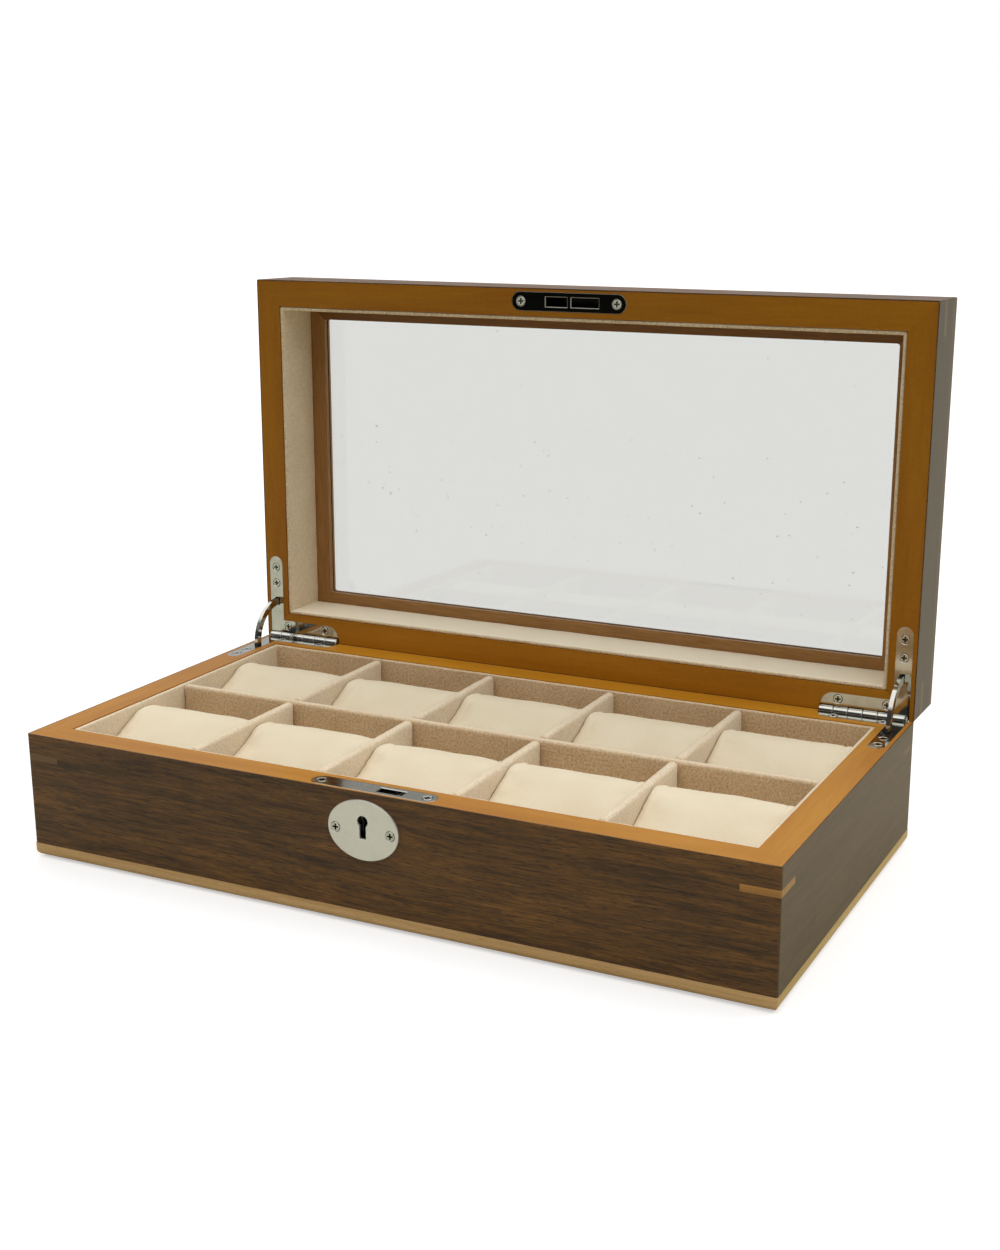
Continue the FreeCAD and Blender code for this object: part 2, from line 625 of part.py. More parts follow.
# ---- metalwork ----
def make_hinges():
    case_leaf = both_hands(hinge_leaf(0))
    lid_leaf = both_hands(to_lid_side(hinge_leaf(1)))
    arm = both_hands(stay_arm())
    for hand in HANDS:
        export("hinge_case_leaf_" + hand, case_leaf[hand])
        export("hinge_lid_leaf_" + hand, opened(lid_leaf[hand]))
        export("stay_arm_" + hand, arm[hand])
    export("hinge_pins", group(both_hands(hinge_pin()).values()))
    case_screws = group(hinge_screws(RIM, (0, 0, -1)))
    export("hinge_case_screws", group(both_hands(case_screws).values()))
    lid_screws = group(hinge_screws(LID_RIM, (0, 0, 1)))
    export("hinge_lid_screws", opened(group(both_hands(lid_screws).values())))


def make_lock():
    export("lock_face_plate", lock_face_plate())
    export("lock_screws", group(plate_screws(RIM, (0, 0, -1))))
    export("lock_case", lock_case())
    export("lock_pivot_pin", lock_pivot_pin())
    export("lock_hook_bolt", lock_hook_bolt())
    export("escutcheon", escutcheon())
    export("escutcheon_screws", group(escutcheon_screws()))
    export("strike_plate", opened(strike_plate()))
    export("strike_screws", opened(group(plate_screws(LID_RIM, (0, 0, 1)))))


os.makedirs("parts", exist_ok=True)
make_case()
make_dividers()
make_cushions()
make_lid()
make_hinges()
make_lock()
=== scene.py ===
import json
import math

import bmesh
import bpy
from mathutils import Matrix, Vector, noise


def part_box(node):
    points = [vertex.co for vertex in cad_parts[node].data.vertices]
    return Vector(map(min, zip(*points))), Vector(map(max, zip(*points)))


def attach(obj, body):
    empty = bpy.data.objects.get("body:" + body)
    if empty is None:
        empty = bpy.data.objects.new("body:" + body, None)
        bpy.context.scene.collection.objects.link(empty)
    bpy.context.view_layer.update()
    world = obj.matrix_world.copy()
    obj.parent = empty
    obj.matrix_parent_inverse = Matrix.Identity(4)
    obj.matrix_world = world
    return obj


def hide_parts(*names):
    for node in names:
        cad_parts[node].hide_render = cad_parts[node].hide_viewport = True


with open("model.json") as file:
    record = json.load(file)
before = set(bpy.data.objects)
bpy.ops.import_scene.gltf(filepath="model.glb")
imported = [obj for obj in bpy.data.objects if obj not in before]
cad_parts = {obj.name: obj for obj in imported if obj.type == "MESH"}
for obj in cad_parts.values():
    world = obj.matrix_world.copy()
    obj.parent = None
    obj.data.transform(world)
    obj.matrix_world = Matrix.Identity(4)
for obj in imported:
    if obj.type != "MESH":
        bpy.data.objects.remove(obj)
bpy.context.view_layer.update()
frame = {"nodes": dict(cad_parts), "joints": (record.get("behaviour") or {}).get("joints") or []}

# A ten-compartment watch box with its glazed lid open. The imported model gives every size
# and place. This script gives it its finishes, and builds the velvet linings, the dividers
# and the padded watch cushions. Metres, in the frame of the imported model.

MM = 0.001
NODES = frame["nodes"]
LONG_SIDES = ("front", "back")
SIDES = (*LONG_SIDES, "left", "right")
ROWS = ("front", "back")
COLUMNS = range(1, 6)

# ---- camera ----
# Where it stands, how far it is turned to the left, how far it looks down, its roll, its lens
# and sensor in millimetres, and its shift in widths of the picture.
CAMERA_PLACE = (0.36527, -0.67887, 0.31379)
CAMERA_TURN = math.radians(26.12)
CAMERA_DOWN = math.radians(15.35)
CAMERA_ROLL = math.radians(-0.11)
CAMERA_LENS = 49.93
CAMERA_SENSOR = 36.0
CAMERA_SHIFT = (-0.0293, 0.0137)
CAMERA_NEAR = 10 * MM

# ---- stage and light ----
# How pale the floor is: to the camera, with a glow added, to mirrored rays and through glass.
FLOOR_SEEN = 0.62
FLOOR_LIFT = 0.5
FLOOR_MIRRORED = 0.66
FLOOR_THROUGH = 0.665
# What it sends up to the object: less in front than behind, over this depth, with less blue.
FLOOR_BOUNCE = (0.34, 0.72)
FLOOR_FADE = (-0.22, 0.02)
FLOOR_BLUE = 0.82
FLOOR_RADIUS = 8.0
FLOOR_CORNERS = 96
ROOM_GLOW = 0.07
# Each panel of light: its direction, the cosines where it starts and is full, its strength.
LIGHT_PANELS = (
    ((0.0, 0.0, 1.0), 0.60, 0.74, 1.60),
    ((0.90, 0.10, 0.40), 0.74, 0.84, 0.75),
    ((0.0, 1.0, 0.10), 0.30, 0.75, 0.55),
    ((-0.80, -0.45, 0.35), 0.92, 0.95, 0.45),
)

# ---- boards under cloth ----
LINING_ROUND = 0.9 * MM
DIVIDER_ROUND = 1.7 * MM
FLOOR_LINING_ROUND = 0.3 * MM
FELT_ROUND = 0.35 * MM
FULL_ROUND = 0.47          # a board's edges are rounded by at most this share of its thickness
ROUND_STEPS = 4
BOARD_CELL = 5 * MM
JOIN_GAP = 0.35 * MM
LID_LINING = 2 * MM
NAP_WAVE = 0.14 * MM
NAP_WAVE_LENGTH = 14 * MM

# ---- cushions ----
CUSHION_SHRINK = (-1.3 * MM, 0.6 * MM, 0.6 * MM)
CUSHION_VOXEL = 2.6 * MM
CUSHION_PRESSURE = 4.0
CUSHION_FRAMES = 20
CUSHION_SWELL = 2.5 * MM
CUSHION_CLEAR = 0.15 * MM
WELT_IN = 2.6 * MM
WELT_WIDTH = 0.9 * MM
WELT_RISE = 0.45 * MM
CREASE_IN = 4.6 * MM
CREASE_DEPTH = 0.35 * MM
DENT = 0.5 * MM
DENT_LENGTH = 18 * MM
DENT_SEED = {"front": 0.0, "back": 50.0}
DENT_SEED_STEP = 7.0

# ---- where a finish changes ----
END_FACING = 0.7           # a normal's part across, on faces that look left or right
FRONT_FACING = -0.7        # a normal's part along Y, on faces that look to the front
BEVEL_FACING = 0.95        # the cosine under which a face is a bevel
EDGE_REACH = 0.4 * MM
KEYHOLE_REACH = 8 * MM
POCKET_DEPTH = 25 * MM
SCREW_FACE = 0.12 * MM
BEVEL_REACH = 0.5 * MM

# ---- colours ----
# Pairs run from dark to light, except where the names say otherwise.
# Painted shade in the pockets behind the escutcheon, the lock's face plate and the strike plate.
POCKET_SHADE = "0c0806"
HONEY_CASE = ("a2681b", "b8802a")
# Lighter and darker copies of the honey stain, as painted light and painted shade: the case's back
# wall lighter, the whole lid darker, and the lid's back wall lighter than the rest of the lid.
HONEY_CASE_BACK_LIT = ("b27418", "c98d26")
HONEY_LID_SHADED = ("925804", "a66c0c")
HONEY_LID_BACK_LIT = ("a0660c", "b57916")
WALNUT_TONES = ((0.36, "321c07"), (0.46, "4e3210"), (0.54, "684319"), (0.66, "865a25"))
WALNUT_PORE = "1f1206"
# Painted shade multiplied onto the walnut faces that look left or right, darker on the lid.
WALNUT_END_SHADE = "d6e4bc"
WALNUT_LID_END_SHADE = "a8ae86"
RAIL_STAIN = ("8d6230", "a97a45")
# A darker copy of the rail stain, as painted shade on the rail at the top of the open lid.
RAIL_STAIN_SHADED = ("6b4316", "80551f")
BEECH_LIGHT_DARK_DASH = ("dfb47c", "c89d63", "a3794a")
BIRCH_LIGHT_DARK_DASH = ("c9ad84", "b3946a", "947650")
KEY_LIGHT_DARK_DASH = ("bb8440", "a47032", "7d5628")
# Painted shade multiplied onto the beech faces that look left or right.
BEECH_END_SHADE = "dfe8cc"
KEY_STAIN = "5c4222"
CHROME = ("aaa9a2", "c7c6bf")
POLISHED_NICKEL = ("98958c", "aeaba2")
SATIN_NICKEL = ("dad7cf", "e6e3dc")
BLACK_NICKEL = ("0a0a09", "121211")
# A painted highlight on the strike plate's bevels.
BLACK_NICKEL_BEVEL_HIGHLIGHT = "a9a59a"
LOCK_STEEL = ("8b8a86", "a5a4a0")
# Painted shade in the screws' slots.
SLOT_SHADE = "181410"
GLASS_CLEAN = "f2f3f0"
GLASS_DUST = "b5b3ad"
CASE_VELVET = ("c8b08c", "f4e7cf")
LID_VELVET = ("cab28a", "f4e5c8")
VELOUR = ("ddceaf", "e7dbc1")
FELT = ("4b3f33", "6a5a48")
# Painted shade for cloth faces that look to the front or back, and painted light for faces that look
# up.
CASE_NAP_SHADE = "e4d0b8"
LID_NAP_SHADE = "e0cab0"
NAP_TOP_LIGHT = "f6e9cf"
SHEEN_TINT = "fff6e6"

# ---- strength of a finish's features, 0 to 1 ----
END_CALM = 0.75
PORE_STRENGTH = 0.6
DASH_STRENGTH = 0.4
KEY_STAIN_STRENGTH = 0.88
NAP_CALM = 0.6
GLASS_FILM = 0.10


# ---- shader graphs ----
def srgb(code):
    """A linear colour from a six-digit hex code."""
    parts = [int(code[i:i + 2], 16) / 255 for i in (0, 2, 4)]
    linear = [c / 12.92 if c <= 0.04045 else ((c + 0.055) / 1.055) ** 2.4 for c in parts]
    return (*linear, 1.0)


class Graph:
    """The node tree of one material or world, built one node at a time."""

    def __init__(self, owner):
        owner.use_nodes = True
        self.owner = owner
        self.tree = owner.node_tree
        self.tree.nodes.clear()

    def put(self, socket, value):
        """Links another node's output to the socket, or sets its constant."""
        if isinstance(value, bpy.types.NodeSocket):
            self.tree.links.new(value, socket)
        else:
            socket.default_value = value

    def node(self, kind, inputs=None, **settings):
        made = self.tree.nodes.new(kind)
        for name, value in settings.items():
            setattr(made, name, value)
        for name, value in (inputs or {}).items():
            self.put(made.inputs[name], value)
        return made

    def place(self, output="Object"):
        return self.node("ShaderNodeTexCoord").outputs[output]

    def split(self, vector):
        return self.node("ShaderNodeSeparateXYZ", {0: vector}).outputs

    def join(self, x, y, z):
        return self.node("ShaderNodeCombineXYZ", {0: x, 1: y, 2: z}).outputs[0]

    def math(self, operation, a, b=0.0):
        return self.node("ShaderNodeMath", {0: a, 1: b}, operation=operation).outputs[0]

    def vector(self, operation, a, b=(0, 0, 0)):
        return self.node("ShaderNodeVectorMath", {0: a, 1: b}, operation=operation).outputs

    def stretch(self, vector, lengths):
        """The vector in units of the lengths, one for each axis."""
        return self.vector("DIVIDE", vector, lengths)[0]

    def noise(self, vector, detail=2.0, roughness=0.5, distortion=0.0):
        sockets = {"Vector": vector, "Scale": 1.0, "Detail": detail, "Roughness": roughness,
                   "Distortion": distortion}
        return self.node("ShaderNodeTexNoise", sockets).outputs["Fac"]

    def cells(self, vector, size, **settings):
        """Noise of the same size every way."""
        return self.noise(self.stretch(vector, (size,) * 3), **settings)

    def grain(self, vector, length, width, **settings):
        """Noise drawn out along the vector's first direction."""
        return self.noise(self.stretch(vector, (length, width, width)), **settings)

    def total(self, *shares):
        """The sum of some values, each times its share."""
        parts = [self.math("MULTIPLY", value, share) for value, share in shares]
        result = parts[0]
        for part in parts[1:]:
            result = self.math("ADD", result, part)
        return result

    def ramp(self, value, low, high, out_low=0.0, out_high=1.0):
        sockets = {"Value": value, "From Min": low, "From Max": high,
                   "To Min": out_low, "To Max": out_high}
        return self.node("ShaderNodeMapRange", sockets).outputs[0]

    def colours(self, value, *stops):
        """A gradient through the stops, each a position and a six-digit hex code."""
        made = self.node("ShaderNodeValToRGB", {0: value})
        points = made.color_ramp.elements
        while len(points) < len(stops):
            points.new(0.5)
        for point, (position, code) in zip(points, stops):
            point.position = position
            point.color = srgb(code)
        return made.outputs[0]

    def mix(self, amount, a, b, blend="MIX"):
        made = self.node("ShaderNodeMix", data_type="RGBA", blend_type=blend)
        for index, value in ((0, amount), (6, a), (7, b)):
            self.put(made.inputs[index], value)
        return made.outputs[2]

    def choose(self, amount, a, b):
        """Vector a where amount is 0, b where it is 1."""
        made = self.node("ShaderNodeMix", data_type="VECTOR")
        for index, value in ((0, amount), (4, a), (5, b)):
            self.put(made.inputs[index], value)
        return made.outputs[1]

    def bump(self, height, distance, normal=None):
        sockets = {"Height": height, "Distance": distance, "Strength": 1.0}
        if normal is not None:
            sockets["Normal"] = normal
        return self.node("ShaderNodeBump", sockets).outputs[0]

    def finish(self, **sockets):
        """Ends the tree in one principled shader, and gives its owner."""
        shader = self.node("ShaderNodeBsdfPrincipled")
        for name, value in sockets.items():
            self.put(shader.inputs[name.replace("_", " ")], value)
        self.node("ShaderNodeOutputMaterial", {"Surface": shader.outputs[0]})
        return self.owner


def grain_place(graph, along):
    """Object place with the grain's direction first. A pair of directions is one for the faces
    that look to the front, back or up, and one for those that look left or right."""
    x, y, z = graph.split(graph.place())
    orders = {"x": (x, y, z), "y": (y, x, z), "z": (z, x, y)}
    first = graph.join(*orders[along[0]])
    if len(along) == 1:
        return first
    return graph.choose(on_ends(graph), first, graph.join(*orders[along[1]]))


def on_ends(graph):
    """1 on the faces that look left or right."""
    across = graph.math("ABSOLUTE", graph.split(graph.place("Normal"))[0])
    return graph.math("GREATER_THAN", across, END_FACING)


def waved(graph, vector, sway, length, width, slope=0.0):
    """The grain's place, with its lines bent sideways by up to sway."""
    u, v, w = graph.split(vector)
    bend = graph.grain(vector, length, width, detail=1.0)
    bend = graph.math("MULTIPLY", graph.math("SUBTRACT", bend, 0.5), 2 * sway)
    leaning = graph.math("MULTIPLY", u, slope)
    v = graph.math("ADD", graph.math("ADD", v, bend), leaning)
    w = graph.math("ADD", graph.math("ADD", w, bend), leaning)
    return graph.join(u, v, w)


def walnut(name, along, painted=None, stain=RAIL_STAIN, end_shade=WALNUT_END_SHADE):
    """Walnut veneer under a satin finish. The sheets on the ends have quieter figure, and a painted
    shade is multiplied onto them. The faces that painted picks are stained brown."""
    graph = Graph(bpy.data.materials.new(name))
    place = waved(graph, grain_place(graph, along), 4 * MM, 120 * MM, 30 * MM, slope=0.012)
    clouds = graph.grain(place, 200 * MM, 20 * MM)
    figure = graph.grain(place, 45 * MM, 2.6 * MM, detail=4.0, roughness=0.65)
    lines = graph.grain(place, 14 * MM, 0.6 * MM, roughness=0.6)
    pores = graph.grain(place, 4 * MM, 0.42 * MM, detail=1.0)
    tone = graph.total((figure, 0.45), (clouds, 0.20), (lines, 0.35))
    ends = on_ends(graph)
    calm = graph.math("SUBTRACT", 1.0, graph.math("MULTIPLY", ends, END_CALM))
    tone = graph.math("ADD", 0.51, graph.math("MULTIPLY", graph.math("SUBTRACT", tone, 0.50), calm))
    colour = graph.colours(tone, *WALNUT_TONES)
    # painted shade on the faces that look left or right
    colour = graph.mix(ends, colour, srgb(end_shade), "MULTIPLY")
    pore = graph.math("MULTIPLY", graph.ramp(pores, 0.55, 0.68), calm)
    colour = graph.mix(graph.math("MULTIPLY", pore, PORE_STRENGTH), colour, srgb(WALNUT_PORE))
    if painted is not None:
        stained = graph.colours(lines, (0.3, stain[0]), (0.7, stain[1]))
        colour = graph.mix(painted(graph), colour, stained)
    height = graph.math("SUBTRACT", graph.math("MULTIPLY", lines, 0.35), pore)
    return graph.finish(
        Base_Color=colour,
        Roughness=graph.ramp(tone, 0.35, 0.65, out_low=0.50, out_high=0.40),
        Normal=graph.bump(height, 0.03 * MM),
        Specular_IOR_Level=0.4,
    )


def lid_inside(graph):
    """1 on the rails' faces that look into the open lid, and on the edges of their opening."""
    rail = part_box("lid_top_rail_left")[1].x
    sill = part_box("lid_top_rail_back")[1].z
    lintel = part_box("lid_top_rail_front")[0].z
    x, _, z = graph.split(graph.place())
    inner = graph.math("LESS_THAN", graph.split(graph.place("Normal"))[1], FRONT_FACING)
    across = graph.math("LESS_THAN", graph.math("ABSOLUTE", x), -rail + EDGE_REACH)
    upright = graph.math("SUBTRACT", z, (sill + lintel) / 2)
    along = graph.math("LESS_THAN", graph.math("ABSOLUTE", upright), (lintel - sill) / 2 + EDGE_REACH)
    return graph.math("MAXIMUM", inner, graph.math("MULTIPLY", across, along))


def within(graph, low, high):
    """1 between two corners."""
    away = graph.vector("SUBTRACT", graph.place(), (low + high) / 2)[0]
    share = graph.vector("ABSOLUTE", graph.stretch(away, (high - low) / 2))[0]
    x, y, z = graph.split(share)
    return graph.math("LESS_THAN", graph.math("MAXIMUM", graph.math("MAXIMUM", x, y), z), 1.0)


def shaded_pockets(graph):
    """1 in the pockets behind the escutcheon, the lock's face plate and the strike plate, which
    get a painted shade."""
    plate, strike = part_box("lock_face_plate"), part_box("strike_plate")
    middle = sum(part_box("escutcheon"), Vector()) / 2
    keyhole = Vector((KEYHOLE_REACH, POCKET_DEPTH, KEYHOLE_REACH))
    shade = within(graph, middle - keyhole, middle + keyhole)
    low = Vector((plate[0].x, plate[0].y, plate[0].z - POCKET_DEPTH))
    high = Vector((plate[1].x, plate[1].y, plate[1].z - EDGE_REACH))
    shade = graph.math("MAXIMUM", shade, within(graph, low, high))
    low = Vector((strike[0].x, strike[0].y + EDGE_REACH, strike[0].z))
    high = Vector((strike[1].x, strike[1].y + POCKET_DEPTH, strike[1].z))
    return graph.math("MAXIMUM", shade, within(graph, low, high))


def honey(name, along, tones):
    """A light hardwood under a honey stain."""
    graph = Graph(bpy.data.materials.new(name))
    place = waved(graph, grain_place(graph, along), 2 * MM, 90 * MM, 20 * MM)
    broad = graph.grain(place, 120 * MM, 12 * MM)
    fibre = graph.grain(place, 18 * MM, 0.9 * MM, roughness=0.6)
    fleck = graph.cells(graph.place(), 1.6 * MM)
    tone = graph.total((broad, 0.5), (fibre, 0.3), (fleck, 0.2))
    colour = graph.colours(tone, (0.36, tones[0]), (0.64, tones[1]))
    # painted shade in the pockets behind the plates
    colour = graph.mix(shaded_pockets(graph), colour, srgb(POCKET_SHADE))
    return graph.finish(
        Base_Color=colour,
        Roughness=graph.ramp(fleck, 0.3, 0.7, out_low=0.36, out_high=0.46),
        Normal=graph.bump(fibre, 0.02 * MM),
        Specular_IOR_Level=0.22,
    )


def stained_keys(graph):
    """1 on all the slips across the corners but the pale one at the case's front right."""
    x, y, _ = graph.split(graph.place())
    pale = graph.math("MULTIPLY", graph.math("GREATER_THAN", x, 0.0), graph.math("LESS_THAN", y, 0.0))
    return graph.math("SUBTRACT", 1.0, pale)


def beech(name, along, light_dark_dash, stained=None):
    """Beech, or a wood like it, with its short dashes, and a painted shade on the faces that look
    left or right. What stained picks is near walnut.
    """
    light, dark, dash = light_dark_dash
    graph = Graph(bpy.data.materials.new(name))
    place = waved(graph, grain_place(graph, along), 1 * MM, 80 * MM, 12 * MM)
    broad = graph.grain(place, 90 * MM, 4 * MM)
    fibre = graph.grain(place, 20 * MM, 0.7 * MM, roughness=0.6)
    rays = graph.grain(place, 3.5 * MM, 0.45 * MM, detail=1.0)
    tone = graph.total((broad, 0.55), (fibre, 0.45))
    colour = graph.colours(tone, (0.35, dark), (0.62, light))
    # painted shade on the faces that look left or right
    colour = graph.mix(on_ends(graph), colour, srgb(BEECH_END_SHADE), "MULTIPLY")
    ray = graph.math("MULTIPLY", graph.ramp(rays, 0.62, 0.72), DASH_STRENGTH)
    colour = graph.mix(ray, colour, srgb(dash))
    if stained is not None:
        amount = graph.math("MULTIPLY", stained(graph), KEY_STAIN_STRENGTH)
        colour = graph.mix(amount, colour, srgb(KEY_STAIN))
    return graph.finish(
        Base_Color=colour,
        Roughness=graph.ramp(fibre, 0.3, 0.7, out_low=0.42, out_high=0.54),
        Normal=graph.bump(fibre, 0.02 * MM),
        Specular_IOR_Level=0.5,
    )


def napped(name, tones, tuft, contrast, sheen, depth, brushed=0.0, shade="ffffff", top_light=0.0):
    """Short-pile cloth: clouds in the nap, a speckle of single tufts, and sheen. On faces that
    look to the front or back a painted shade darkens the cloth, by the share brushed. On faces
    that look up a painted light makes it paler."""
    dark, light = tones
    graph = Graph(bpy.data.materials.new(name))
    place = graph.place()
    clouds = graph.cells(place, 17 * MM, detail=3.0)
    tufts = graph.cells(place, tuft, detail=3.0, roughness=0.65)
    grit = graph.cells(place, tuft * 0.35, detail=1.0)
    tone = graph.total((tufts, contrast), (clouds, 1.0 - contrast))
    colour = graph.colours(tone, (0.36, dark), (0.64, light))
    sideways, across, up = graph.split(graph.place("Normal"))
    plain = graph.math("MAXIMUM", graph.math("ABSOLUTE", sideways), up)
    even = graph.math("MULTIPLY", plain, NAP_CALM)
    colour = graph.mix(even, colour, graph.mix(0.5, srgb(dark), srgb(light)))
    # painted shade on faces that look to the front or back
    upright = graph.math("ABSOLUTE", across)
    colour = graph.mix(graph.math("MULTIPLY", upright, brushed), colour, srgb(shade), "MULTIPLY")
    # painted light on faces that look up
    lit_top = graph.math("MULTIPLY", graph.ramp(up, 0.5, 0.9), top_light)
    colour = graph.mix(lit_top, colour, srgb(NAP_TOP_LIGHT))
    height = graph.total((tufts, 0.7), (grit, 0.3))
    return graph.finish(
        Base_Color=colour,
        Roughness=graph.ramp(tufts, 0.3, 0.7, out_low=0.95, out_high=0.80),
        Normal=graph.bump(height, depth),
        Specular_IOR_Level=0.15,
        Sheen_Weight=sheen,
        Sheen_Roughness=0.45,
        Sheen_Tint=srgb(SHEEN_TINT),
    )


def below(graph, node, outward):
    """How far a point lies under the flat face of the node that looks outward."""
    level = max(v.co.dot(outward) for v in NODES[node].data.vertices)
    reach = graph.vector("DOT_PRODUCT", graph.place(), outward)[1]
    return graph.math("SUBTRACT", level, reach)


def slots(node, outward):
    """Picks what lies under the faces of the screws' heads: their slots, which get a painted shade.
    """
    return lambda graph: graph.math("GREATER_THAN", below(graph, node, outward), SCREW_FACE)


def bevels(node, outward):
    """Picks a plate's bevels, which get a painted highlight in pale nickel."""
    def mask(graph):
        facing = graph.vector("DOT_PRODUCT", graph.place("Normal"), outward)[1]
        near = graph.math("LESS_THAN", below(graph, node, outward), BEVEL_REACH)
        return graph.math("MULTIPLY", graph.math("LESS_THAN", facing, BEVEL_FACING), near)

    return mask


def metal(name, tones, rough, brushed=0.0, metallic=1.0, marked=None, mark=SLOT_SHADE):
    """Plated metal, with hairline scratches, finger marks and a slight unevenness. What marked
    picks takes the mark's colour."""
    graph = Graph(bpy.data.materials.new(name))
    place = graph.place()
    smudges = graph.cells(place, 6 * MM, detail=3.0)
    hair = graph.grain(place, 9 * MM, 0.12 * MM, detail=1.0)
    worn = graph.total((smudges, 0.6), (hair, 0.4))
    uneven = graph.bump(graph.cells(place, 12 * MM, detail=0.0), 0.05 * MM)
    colour = graph.colours(worn, (0.3, tones[0]), (0.7, tones[1]))
    # marked picks the screws' slots for a painted shade, and the strike plate's bevels for a painted
    # highlight
    if marked is not None:
        spots = marked(graph)
        colour = graph.mix(spots, colour, srgb(mark))
        metallic = graph.math("SUBTRACT", metallic, graph.math("MULTIPLY", spots, metallic))
    return graph.finish(
        Base_Color=colour,
        Metallic=metallic,
        Roughness=graph.ramp(worn, 0.3, 0.7, out_low=rough, out_high=rough + 0.06),
        Normal=graph.bump(hair, brushed, uneven) if brushed else uneven,
    )


def glass():
    """Clear sheet glass with faint dust and wiped smears."""
    graph = Graph(bpy.data.materials.new("sheet_glass"))
    place = graph.place()
    wiped = graph.stretch(place, (50 * MM, 50 * MM, 30 * MM))
    smear = graph.noise(wiped, detail=4.0, roughness=0.6, distortion=1.2)
    dust = graph.cells(place, 2.2 * MM, detail=1.0)
    tint = graph.mix(graph.ramp(dust, 0.76, 0.80), srgb(GLASS_CLEAN), srgb(GLASS_DUST))
    return graph.finish(
        Base_Color=tint,
        Roughness=graph.math("MULTIPLY", graph.ramp(smear, 0.45, 0.8), GLASS_FILM),
        IOR=1.5,
        Transmission_Weight=1.0,
        Specular_IOR_Level=0.5,
    )


# ---- stage, light and camera ----
def add_object(name, data):
    """A new object in the scene, with its mesh or camera data."""
    made = bpy.data.objects.new(name, data)
    bpy.context.scene.collection.objects.link(made)
    return made


def make_camera():
    data = bpy.data.cameras.new("camera")
    data.lens = CAMERA_LENS
    data.sensor_width = CAMERA_SENSOR
    data.shift_x, data.shift_y = CAMERA_SHIFT
    data.clip_start = CAMERA_NEAR
    camera = add_object("camera", data)
    turn = Matrix.Rotation(CAMERA_TURN, 4, "Z")
    tilt = Matrix.Rotation(math.pi / 2 - CAMERA_DOWN, 4, "X")
    roll = Matrix.Rotation(CAMERA_ROLL, 4, "Z")
    camera.matrix_world = Matrix.Translation(CAMERA_PLACE) @ turn @ tilt @ roll
    bpy.context.scene.camera = camera


def floor_finish():
    """A white sheet. It is brighter to the camera than to the object, so that it stays white
    and sends little light up to the object's front."""
    graph = Graph(bpy.data.materials.new("pale_floor"))
    rays = graph.node("ShaderNodeLightPath").outputs
    seen = rays["Is Camera Ray"]
    through = rays["Is Transmission Ray"]
    mirrored = rays["Is Glossy Ray"]
    depth = graph.split(graph.place())[1]
    bounce = graph.ramp(depth, *FLOOR_FADE, *FLOOR_BOUNCE)
    hidden = graph.math("SUBTRACT", 1.0, graph.math("MAXIMUM", seen, through))
    bounce = graph.math("MAXIMUM", bounce, graph.math("MULTIPLY", mirrored, FLOOR_MIRRORED))
    shade = graph.math("MULTIPLY", bounce, hidden)
    shade = graph.math("ADD", shade, graph.math("MULTIPLY", seen, FLOOR_SEEN))
    shade = graph.math("ADD", shade, graph.math("MULTIPLY", through, FLOOR_THROUGH))
    blue = graph.math("MULTIPLY", shade, graph.ramp(hidden, 0.0, 1.0, 1.0, FLOOR_BLUE))
    pale = graph.node("ShaderNodeBsdfDiffuse", {"Color": graph.join(shade, shade, blue)})
    lift = graph.node("ShaderNodeEmission", {"Color": (1, 1, 1, 1)})
    graph.put(lift.inputs["Strength"], graph.math("MULTIPLY", seen, FLOOR_LIFT))
    both = graph.node("ShaderNodeAddShader", {0: pale.outputs[0], 1: lift.outputs[0]})
    graph.node("ShaderNodeOutputMaterial", {"Surface": both.outputs[0]})
    return graph.owner


def make_floor():
    bm = bmesh.new()
    bmesh.ops.create_circle(bm, cap_ends=True, segments=FLOOR_CORNERS, radius=FLOOR_RADIUS)
    mesh = bpy.data.meshes.new("floor")
    bm.to_mesh(mesh)
    bm.free()
    mesh.materials.append(floor_finish())
    floor = add_object("floor", mesh)


def glow_towards(graph, way, direction, edge, full, strength):
    """A soft-edged panel of light seen in that direction. Edge and full are cosines."""
    towards = graph.vector("DOT_PRODUCT", way, Vector(direction).normalized())[1]
    return graph.math("MULTIPLY", graph.ramp(towards, edge, full), strength)


def make_light():
    """A studio round the object: a broad light overhead, a lower one on the right, a pale wall
    behind and a dark room in front. The camera itself sees plain white behind the object."""
    world = bpy.data.worlds.new("studio")
    bpy.context.scene.world = world
    graph = Graph(world)
    way = graph.vector("NORMALIZE", graph.place("Generated"))[0]
    glow = ROOM_GLOW
    for panel in LIGHT_PANELS:
        glow = graph.math("ADD", glow, glow_towards(graph, way, *panel))
    camera = graph.node("ShaderNodeLightPath").outputs["Is Camera Ray"]
    seen = graph.mix(camera, graph.join(glow, glow, glow), (1.0, 1.0, 1.0, 1.0))
    light = graph.node("ShaderNodeBackground", {"Color": seen, "Strength": 1.0})
    graph.node("ShaderNodeOutputWorld", {"Surface": light.outputs[0]})


# ---- meshes ----
def settle(elements, place):
    """Numbers a mesh's points or faces by where they are, so that every run is the same."""
    for index, element in enumerate(sorted(elements, key=place)):
        element.index = index
    elements.sort()


def piece(name, bm, material, slot, body, *nodes):
    """A new object from bm, shaded smooth, that rides on body and stands for the CAD nodes."""
    for face in bm.faces:
        face.smooth = True
    bmesh.ops.recalc_face_normals(bm, faces=bm.faces)
    settle(bm.verts, lambda v: tuple(v.co))
    settle(bm.faces, lambda f: (*f.calc_center_median(), *f.normal))
    mesh = bpy.data.meshes.new(name)
    bm.to_mesh(mesh)
    bm.free()
    mesh.materials.append(material)
    made = add_object(name, mesh)
    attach(made, body)
    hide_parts(*nodes)
    return made


